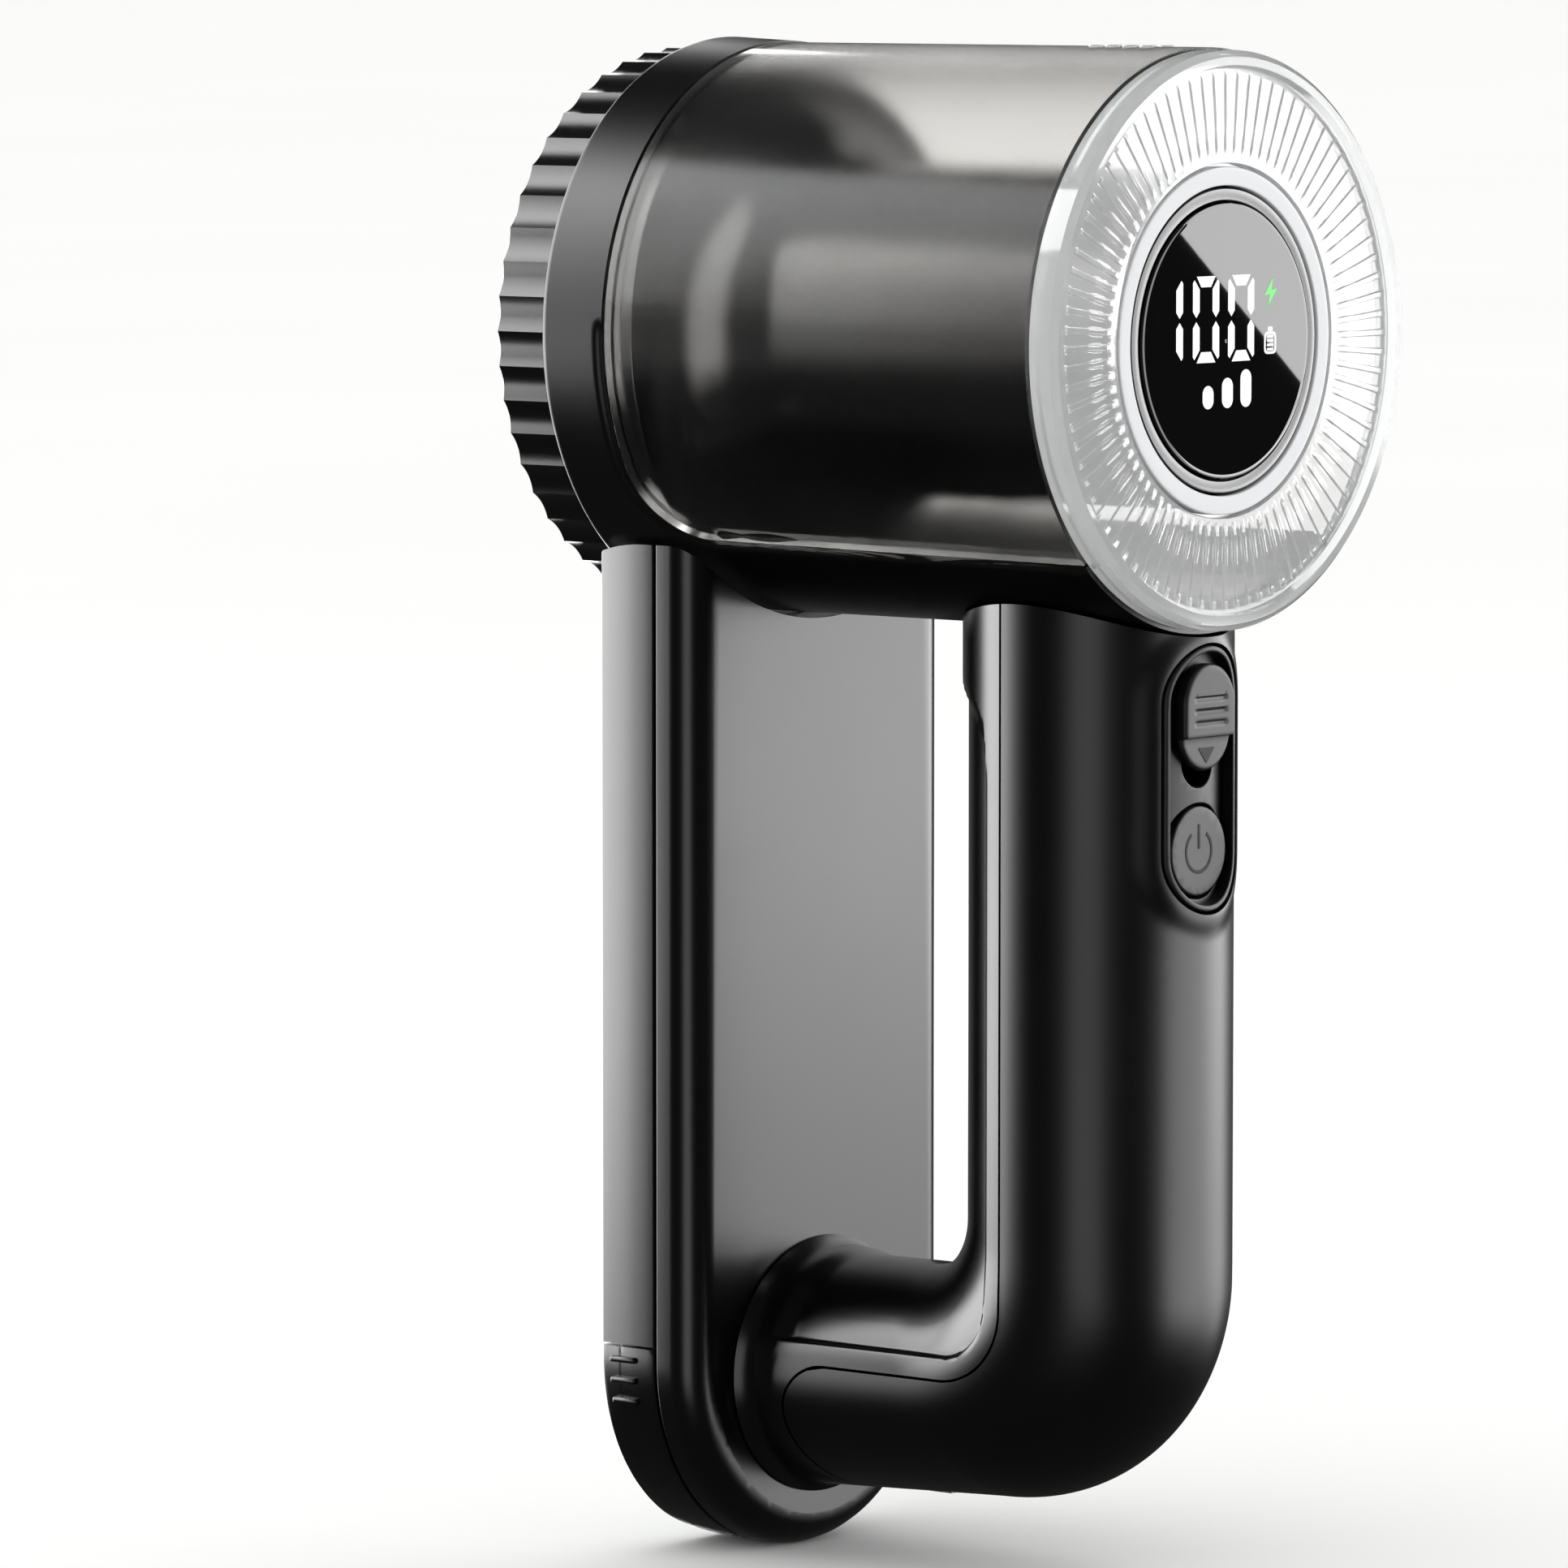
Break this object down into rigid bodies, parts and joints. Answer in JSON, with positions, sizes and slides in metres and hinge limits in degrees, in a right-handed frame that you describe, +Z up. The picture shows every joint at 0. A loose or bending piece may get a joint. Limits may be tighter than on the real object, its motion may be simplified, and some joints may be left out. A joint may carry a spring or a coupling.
{
  "type": "fabric shaver",
  "caption": "Hand-held fabric shaver: round shaving head with clear lint bin and screen, loop battery grip, flat front paddle with slide-off lint brush.",
  "frame": {"origin": "centre of the foil's flat front face, on the barrel axis", "axes": "+X along the barrel from the foil to the screen, +Z up from the grip to the barrel, Y across the width; the outside is symmetric about Y = 0"},
  "size_m": [0.0882, 0.0718, 0.1889],
  "materials": {
    "black_shell": "satin black ABS with a fine spark texture",
    "black_trim": "smooth satin black ABS",
    "paddle_black": "smooth satin black ABS",
    "black_inner": "glossy black",
    "smoky_clear": "smoke-tinted clear polycarbonate",
    "clear_plastic": "water-clear polycarbonate, fluted",
    "silver_trim": "satin silver",
    "display_gloss": "polished black screen window",
    "white_plastic": "white nylon",
    "bright_steel": "bright steel",
    "blade_steel": "ground stainless blade steel",
    "zinc_steel": "zinc-plated steel",
    "green_board": "solder-masked glass-epoxy board",
    "cell_wrap": "shrink-wrapped cell",
    "pile_fabric": "pale mint cut-pile cloth"
  },
  "bodies": {
    "housing": {"head_housing": "black_shell", "motor_cowl": "black_inner", "motor_bracket": "zinc_steel", "motor_can": "zinc_steel", "motor_endbell": "white_plastic", "front_bearing": "bright_steel", "motor_screw_1": "bright_steel", "motor_screw_2": "bright_steel", "display_ring": "silver_trim", "display_bezel": "black_inner", "display_glass": "display_gloss", "display_board": "green_board", "front_frame": "black_trim", "paddle_rear_shell": "paddle_black", "paddle_screw_1": "bright_steel", "paddle_screw_2": "bright_steel", "paddle_screw_3": "bright_steel", "paddle_screw_4": "bright_steel", "grip_outer_shell": "black_shell", "inner_trim": "black_trim", "button_plate": "black_trim", "latch_spring": "bright_steel", "power_switch": "black_inner", "battery_cell": "cell_wrap", "main_board": "green_board", "usb_port": "bright_steel"},
    "guard": {"guard_ring": "black_trim", "foil": "bright_steel", "foil_ring": "black_inner"},
    "cutter": {"cutter_disc": "white_plastic", "drive_hub": "black_inner", "motor_shaft": "bright_steel", "cutter_blade_1": "blade_steel", "cutter_blade_2": "blade_steel", "cutter_blade_3": "blade_steel", "cutter_blade_4": "blade_steel", "cutter_blade_5": "blade_steel", "cutter_blade_6": "blade_steel"},
    "bin": {"bin_shell": "smoky_clear", "bin_lens": "clear_plastic"},
    "latch": {"latch_slider": "black_trim", "latch_hook": "black_inner"},
    "power": {"power_button": "black_trim"},
    "brush": {"brush_carrier": "black_trim", "brush_pad": "pile_fabric", "brush_catch_left": "black_inner", "brush_catch_right": "black_inner"}
  },
  "joints": [
    {"name": "guard_twist", "type": "hinge", "parent": "housing", "child": "guard", "pos_m": [0, 0, 0], "axis": [1, 0, 0], "range_deg": [0, 25]},
    {"name": "cutter_spin", "type": "hinge", "parent": "housing", "child": "cutter", "pos_m": [0, 0, 0], "axis": [1, 0, 0], "continuous": true},
    {"name": "bin_slide", "type": "slide", "parent": "housing", "child": "bin", "axis": [1, 0, 0], "range_m": [0, 0.068]},
    {"name": "latch_slide", "type": "slide", "parent": "housing", "child": "latch", "axis": [0, 0, -1], "range_m": [0, 0.004], "stiffness_N_per_m": 250, "springref_m": -0.002, "deforming": ["latch_spring"]},
    {"name": "power_press", "type": "slide", "parent": "housing", "child": "power", "axis": [-1, 0, 0], "range_m": [0, 0.0006], "stiffness_N_per_m": 800, "springref_m": -0.0005},
    {"name": "brush_slide", "type": "slide", "parent": "housing", "child": "brush", "axis": [0, 0, -1], "range_m": [0, 0.085]}
  ]
}
